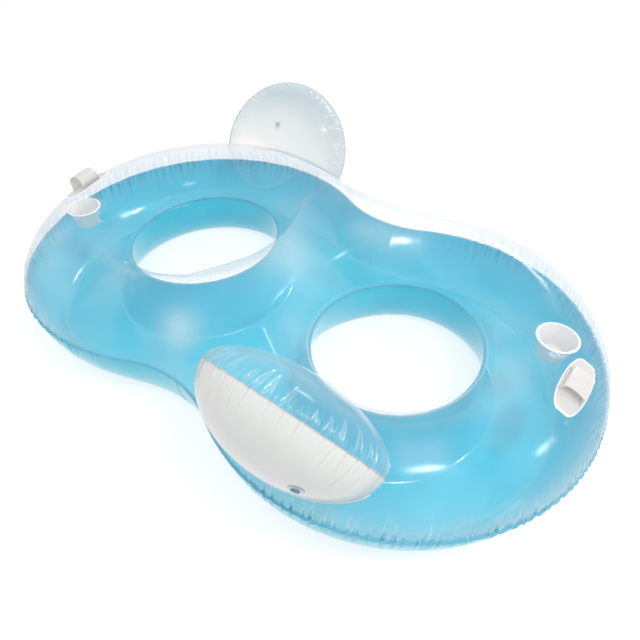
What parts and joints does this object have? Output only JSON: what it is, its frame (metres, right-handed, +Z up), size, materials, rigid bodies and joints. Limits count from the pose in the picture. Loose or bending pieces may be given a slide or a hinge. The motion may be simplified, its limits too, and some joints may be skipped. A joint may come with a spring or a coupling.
{
  "type": "double pool float",
  "caption": "Inflatable lounge ring for two people, facing opposite ways, with seat holes, inflated back pillows, cup wells, carry handles and plugged air valves.",
  "frame": {"origin": "middle of the ring on the ground, at the bottom centre of the part", "axes": "+X along the float's length towards end a, +Z up; pillow a leans over the -Y side and pillow b over the +Y side"},
  "size_m": [2.416, 1.5735, 0.7113],
  "materials": {
    "clear_film": "clear glossy vinyl film",
    "blue_film": "translucent glossy blue vinyl film",
    "white_film": "white glossy vinyl film",
    "moulded_white": "satin soft vinyl moulding",
    "cup_white": "satin translucent soft vinyl moulding",
    "valve_pale": "soft vinyl valve moulding",
    "valve_blue": "soft vinyl plug"
  },
  "bodies": {
    "float": {"top_sheet": "clear_film", "bottom_sheet": "blue_film", "pillow_a_front": "clear_film", "pillow_a_back": "white_film", "cup_holder_a": "cup_white", "handle_plate_a": "moulded_white", "handle_grip_a": "moulded_white", "pillow_b_front": "clear_film", "pillow_b_back": "white_film", "cup_holder_b": "cup_white", "handle_plate_b": "moulded_white", "handle_grip_b": "moulded_white", "ring_valve_flange": "valve_pale", "pillow_a_valve_flange": "valve_pale", "pillow_b_valve_flange": "valve_pale"},
    "ring_valve_stem": {"ring_valve_stem": "valve_pale"},
    "ring_valve_plug": {"ring_valve_plug": "valve_blue"},
    "ring_valve_flap": {"ring_valve_flap": "valve_pale"},
    "pillow_a_valve_stem": {"pillow_a_valve_stem": "valve_pale"},
    "pillow_a_valve_plug": {"pillow_a_valve_plug": "valve_blue"},
    "pillow_a_valve_flap": {"pillow_a_valve_flap": "valve_pale"},
    "pillow_b_valve_stem": {"pillow_b_valve_stem": "valve_pale"},
    "pillow_b_valve_plug": {"pillow_b_valve_plug": "valve_blue"},
    "pillow_b_valve_flap": {"pillow_b_valve_flap": "valve_pale"}
  },
  "joints": [
    {"name": "ring_valve_stem_slide", "type": "slide", "parent": "float", "child": "ring_valve_stem", "axis": [0.6365, 0.6822, -0.3599], "range_m": [0, 0.012]},
    {"name": "ring_valve_plug_hinge", "type": "hinge", "parent": "ring_valve_stem", "child": "ring_valve_plug", "pos_m": [0.93081, 0.60212, 0.11276], "axis": [0.3137, 0.1972, 0.9288], "range_deg": [0, 140]},
    {"name": "ring_valve_flap_hinge", "type": "hinge", "parent": "ring_valve_stem", "child": "ring_valve_flap", "pos_m": [0.91568, 0.5773, 0.12314], "axis": [-0.3137, -0.1972, -0.9288], "range_deg": [0, 35]},
    {"name": "pillow_a_valve_stem_slide", "type": "slide", "parent": "float", "child": "pillow_a_valve_stem", "axis": [0.4007, -0.9045, -0.1459], "range_m": [0, 0.012]},
    {"name": "pillow_a_valve_plug_hinge", "type": "hinge", "parent": "pillow_a_valve_stem", "child": "pillow_a_valve_plug", "pos_m": [0.63535, -0.76773, 0.47548], "axis": [0.0099, 0.1635, -0.9865], "range_deg": [0, 140]},
    {"name": "pillow_a_valve_flap_hinge", "type": "hinge", "parent": "pillow_a_valve_stem", "child": "pillow_a_valve_flap", "pos_m": [0.62861, -0.738, 0.48034], "axis": [-0.0099, -0.1635, 0.9865], "range_deg": [0, 35]},
    {"name": "pillow_b_valve_stem_slide", "type": "slide", "parent": "float", "child": "pillow_b_valve_stem", "axis": [-0.513, 0.8417, -0.1684], "range_m": [0, 0.012]},
    {"name": "pillow_b_valve_plug_hinge", "type": "hinge", "parent": "pillow_b_valve_stem", "child": "pillow_b_valve_plug", "pos_m": [-0.66843, 0.71305, 0.46269], "axis": [-0.0509, -0.2256, -0.9729], "range_deg": [0, 140]},
    {"name": "pillow_b_valve_flap_hinge", "type": "hinge", "parent": "pillow_b_valve_stem", "child": "pillow_b_valve_flap", "pos_m": [-0.65794, 0.68465, 0.46873], "axis": [0.0509, 0.2256, 0.9729], "range_deg": [0, 35]}
  ]
}
